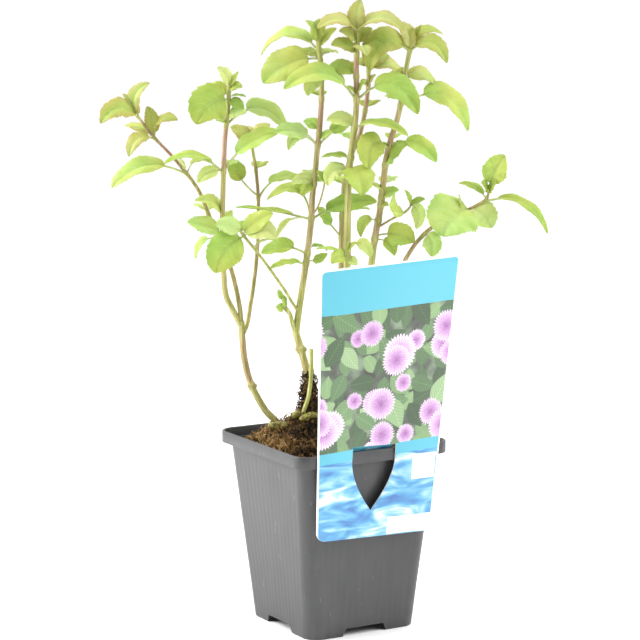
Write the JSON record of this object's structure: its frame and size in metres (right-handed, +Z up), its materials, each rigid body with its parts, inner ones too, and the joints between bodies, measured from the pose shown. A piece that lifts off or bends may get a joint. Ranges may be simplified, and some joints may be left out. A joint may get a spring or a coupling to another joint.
{
  "type": "potted mint plant",
  "caption": "Leafy mint plant growing from compost in a square plastic nursery pot, with a printed plastic plant label hooked over the pot's rim.",
  "frame": {"origin": "on the ground, in the middle of the plant's whole width and depth", "axes": "+Z up, the label on the pot's -Y face, +X to the right of someone who faces the label"},
  "size_m": [0.1904, 0.1437, 0.3261],
  "materials": {
    "pot_plastic": "satin",
    "label_plastic": "gloss",
    "compost": "matte",
    "leaf": "satin",
    "stem": "satin"
  },
  "bodies": {
    "root": {"pot": "pot_plastic", "label": "label_plastic", "soil": "compost", "left_leafy_stems": "leaf", "centre_left_leafy_stem": "leaf", "cut_stem": "stem", "centre_leafy_stem": "leaf", "back_leafy_stem": "leaf", "right_leafy_stem": "leaf", "outer_right_leafy_stem": "leaf"}
  },
  "joints": []
}
